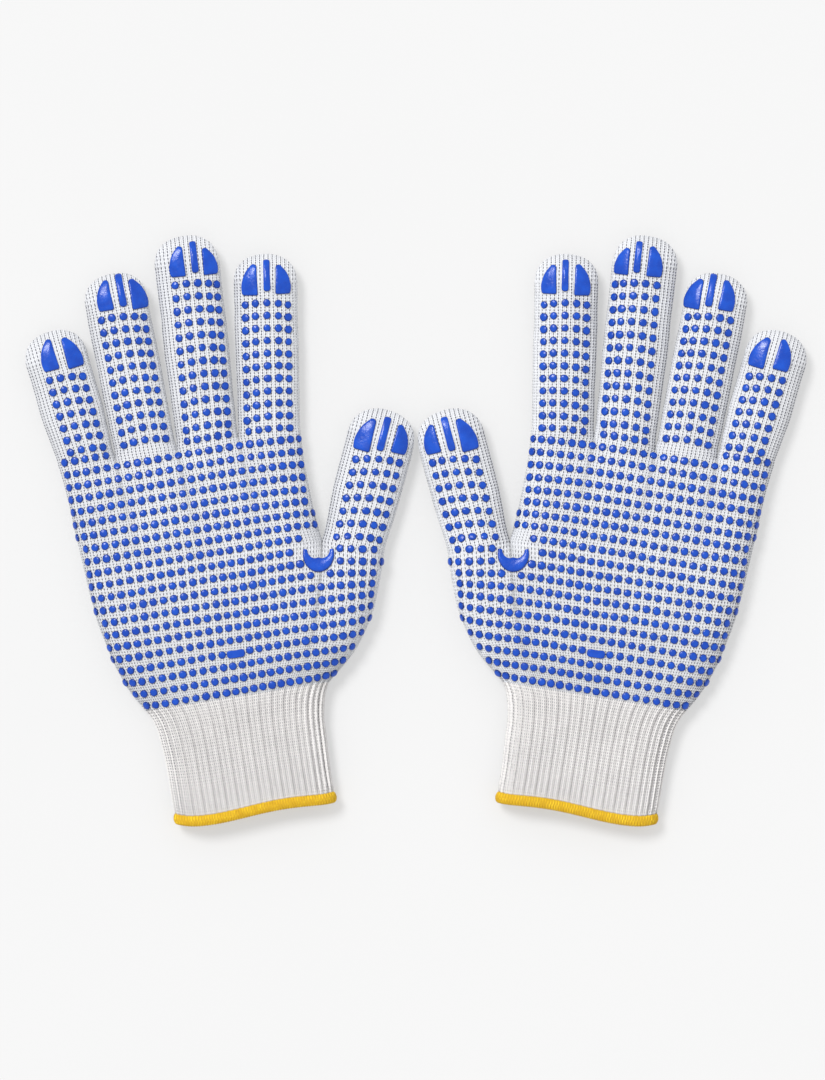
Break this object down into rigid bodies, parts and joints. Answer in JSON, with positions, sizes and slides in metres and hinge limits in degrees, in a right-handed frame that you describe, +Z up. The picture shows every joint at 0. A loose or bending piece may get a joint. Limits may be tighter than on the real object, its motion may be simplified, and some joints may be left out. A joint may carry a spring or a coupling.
{
  "type": "pair of dotted knitted work gloves",
  "caption": "Pair of seamless knitted work gloves with printed grip dots on palm and fingers, rib cuffs and overlocked hems; the fingers curl at their knuckles.",
  "frame": {"origin": "middle of the pair's footprint, on the surface that the gloves lie on", "axes": "+X towards the left-hand glove, +Y towards the fingertips, +Z up, out of the palms; the gloves lie on their backs"},
  "size_m": [0.3164, 0.2398, 0.0157],
  "materials": {
    "knit_yarn": "off-white cotton and polyester string knit",
    "rib_yarn": "off-white rib knit",
    "printed_vinyl": "glossy royal blue printed vinyl",
    "hem_yarn": "golden yellow overlock yarn",
    "elastic_thread": "natural latex thread"
  },
  "bodies": {
    "right_palm": {"right_palm_knit": "knit_yarn", "right_palm_dots": "printed_vinyl", "right_palm_bar": "printed_vinyl", "right_thumb_crotch_patch": "printed_vinyl"},
    "right_cuff": {"right_cuff_rib_knit": "rib_yarn", "right_cuff_elastic_threads": "elastic_thread", "right_cuff_hem": "hem_yarn"},
    "right_thumb_base": {"right_thumb_base_knit": "knit_yarn", "right_thumb_base_dots": "printed_vinyl"},
    "right_thumb_tip": {"right_thumb_tip_knit": "knit_yarn", "right_thumb_tip_dots": "printed_vinyl"},
    "right_index_base": {"right_index_base_knit": "knit_yarn", "right_index_base_dots": "printed_vinyl"},
    "right_index_tip": {"right_index_tip_knit": "knit_yarn", "right_index_tip_dots": "printed_vinyl"},
    "right_middle_base": {"right_middle_base_knit": "knit_yarn", "right_middle_base_dots": "printed_vinyl"},
    "right_middle_tip": {"right_middle_tip_knit": "knit_yarn", "right_middle_tip_dots": "printed_vinyl"},
    "right_ring_base": {"right_ring_base_knit": "knit_yarn", "right_ring_base_dots": "printed_vinyl"},
    "right_ring_tip": {"right_ring_tip_knit": "knit_yarn", "right_ring_tip_dots": "printed_vinyl"},
    "right_little_base": {"right_little_base_knit": "knit_yarn", "right_little_base_dots": "printed_vinyl"},
    "right_little_tip": {"right_little_tip_knit": "knit_yarn", "right_little_tip_dots": "printed_vinyl"},
    "left_palm": {"left_palm_knit": "knit_yarn", "left_palm_dots": "printed_vinyl", "left_palm_bar": "printed_vinyl", "left_thumb_crotch_patch": "printed_vinyl"},
    "left_cuff": {"left_cuff_rib_knit": "rib_yarn", "left_cuff_elastic_threads": "elastic_thread", "left_cuff_hem": "hem_yarn"},
    "left_thumb_base": {"left_thumb_base_knit": "knit_yarn", "left_thumb_base_dots": "printed_vinyl"},
    "left_thumb_tip": {"left_thumb_tip_knit": "knit_yarn", "left_thumb_tip_dots": "printed_vinyl"},
    "left_index_base": {"left_index_base_knit": "knit_yarn", "left_index_base_dots": "printed_vinyl"},
    "left_index_tip": {"left_index_tip_knit": "knit_yarn", "left_index_tip_dots": "printed_vinyl"},
    "left_middle_base": {"left_middle_base_knit": "knit_yarn", "left_middle_base_dots": "printed_vinyl"},
    "left_middle_tip": {"left_middle_tip_knit": "knit_yarn", "left_middle_tip_dots": "printed_vinyl"},
    "left_ring_base": {"left_ring_base_knit": "knit_yarn", "left_ring_base_dots": "printed_vinyl"},
    "left_ring_tip": {"left_ring_tip_knit": "knit_yarn", "left_ring_tip_dots": "printed_vinyl"},
    "left_little_base": {"left_little_base_knit": "knit_yarn", "left_little_base_dots": "printed_vinyl"},
    "left_little_tip": {"left_little_tip_knit": "knit_yarn", "left_little_tip_dots": "printed_vinyl"}
  },
  "joints": [
    {"name": "right_wrist_fold", "type": "hinge", "parent": "right_palm", "child": "right_cuff", "pos_m": [-0.07232, -0.06648, 0.0124], "axis": [-0.9877, -0.1564, 0], "range_deg": [0, 60]},
    {"name": "right_thumb_base_knuckle", "type": "hinge", "parent": "right_palm", "child": "right_thumb_base", "pos_m": [-0.02564, -0.00611, 0.0124], "axis": [0.9681, -0.2504, 0], "range_deg": [0, 50]},
    {"name": "right_thumb_end_knuckle", "type": "hinge", "parent": "right_thumb_base", "child": "right_thumb_tip", "pos_m": [-0.02043, 0.01403, 0.0124], "axis": [0.9681, -0.2504, 0], "range_deg": [0, 70]},
    {"name": "right_index_base_knuckle", "type": "hinge", "parent": "right_palm", "child": "right_index_base", "pos_m": [-0.05939, 0.03924, 0.0124], "axis": [0.9997, 0.0262, 0], "range_deg": [0, 65]},
    {"name": "right_index_middle_knuckle", "type": "hinge", "parent": "right_index_base", "child": "right_index_tip", "pos_m": [-0.06021, 0.07043, 0.0124], "axis": [0.9997, 0.0262, 0], "range_deg": [0, 75]},
    {"name": "right_middle_base_knuckle", "type": "hinge", "parent": "right_palm", "child": "right_middle_base", "pos_m": [-0.0845, 0.03619, 0.0124], "axis": [0.9936, 0.1132, 0], "range_deg": [0, 65]},
    {"name": "right_middle_middle_knuckle", "type": "hinge", "parent": "right_middle_base", "child": "right_middle_tip", "pos_m": [-0.08862, 0.07236, 0.0124], "axis": [0.9936, 0.1132, 0], "range_deg": [0, 75]},
    {"name": "right_ring_base_knuckle", "type": "hinge", "parent": "right_palm", "child": "right_ring_base", "pos_m": [-0.10942, 0.03193, 0.0124], "axis": [0.9813, 0.1925, 0], "range_deg": [0, 65]},
    {"name": "right_ring_middle_knuckle", "type": "hinge", "parent": "right_ring_base", "child": "right_ring_tip", "pos_m": [-0.11543, 0.06255, 0.0124], "axis": [0.9813, 0.1925, 0], "range_deg": [0, 75]},
    {"name": "right_little_base_knuckle", "type": "hinge", "parent": "right_palm", "child": "right_little_base", "pos_m": [-0.13324, 0.02807, 0.0124], "axis": [0.9598, 0.2807, 0], "range_deg": [0, 65]},
    {"name": "right_little_middle_knuckle", "type": "hinge", "parent": "right_little_base", "child": "right_little_tip", "pos_m": [-0.13908, 0.04804, 0.0124], "axis": [0.9598, 0.2807, 0], "range_deg": [0, 75]},
    {"name": "gloves_apart", "type": "slide", "parent": "right_palm", "child": "left_palm", "axis": [1, 0, 0], "range_m": [0, 0.12]},
    {"name": "left_wrist_fold", "type": "hinge", "parent": "left_palm", "child": "left_cuff", "pos_m": [0.07232, -0.06648, 0.0124], "axis": [-0.9877, 0.1564, 0], "range_deg": [0, 60]},
    {"name": "left_thumb_base_knuckle", "type": "hinge", "parent": "left_palm", "child": "left_thumb_base", "pos_m": [0.02564, -0.00611, 0.0124], "axis": [0.9681, 0.2504, 0], "range_deg": [0, 50]},
    {"name": "left_thumb_end_knuckle", "type": "hinge", "parent": "left_thumb_base", "child": "left_thumb_tip", "pos_m": [0.02043, 0.01403, 0.0124], "axis": [0.9681, 0.2504, 0], "range_deg": [0, 70]},
    {"name": "left_index_base_knuckle", "type": "hinge", "parent": "left_palm", "child": "left_index_base", "pos_m": [0.05939, 0.03924, 0.0124], "axis": [0.9997, -0.0262, 0], "range_deg": [0, 65]},
    {"name": "left_index_middle_knuckle", "type": "hinge", "parent": "left_index_base", "child": "left_index_tip", "pos_m": [0.06021, 0.07043, 0.0124], "axis": [0.9997, -0.0262, 0], "range_deg": [0, 75]},
    {"name": "left_middle_base_knuckle", "type": "hinge", "parent": "left_palm", "child": "left_middle_base", "pos_m": [0.0845, 0.03619, 0.0124], "axis": [0.9936, -0.1132, 0], "range_deg": [0, 65]},
    {"name": "left_middle_middle_knuckle", "type": "hinge", "parent": "left_middle_base", "child": "left_middle_tip", "pos_m": [0.08862, 0.07236, 0.0124], "axis": [0.9936, -0.1132, 0], "range_deg": [0, 75]},
    {"name": "left_ring_base_knuckle", "type": "hinge", "parent": "left_palm", "child": "left_ring_base", "pos_m": [0.10942, 0.03193, 0.0124], "axis": [0.9813, -0.1925, 0], "range_deg": [0, 65]},
    {"name": "left_ring_middle_knuckle", "type": "hinge", "parent": "left_ring_base", "child": "left_ring_tip", "pos_m": [0.11543, 0.06255, 0.0124], "axis": [0.9813, -0.1925, 0], "range_deg": [0, 75]},
    {"name": "left_little_base_knuckle", "type": "hinge", "parent": "left_palm", "child": "left_little_base", "pos_m": [0.13324, 0.02807, 0.0124], "axis": [0.9598, -0.2807, 0], "range_deg": [0, 65]},
    {"name": "left_little_middle_knuckle", "type": "hinge", "parent": "left_little_base", "child": "left_little_tip", "pos_m": [0.13908, 0.04804, 0.0124], "axis": [0.9598, -0.2807, 0], "range_deg": [0, 75]}
  ]
}
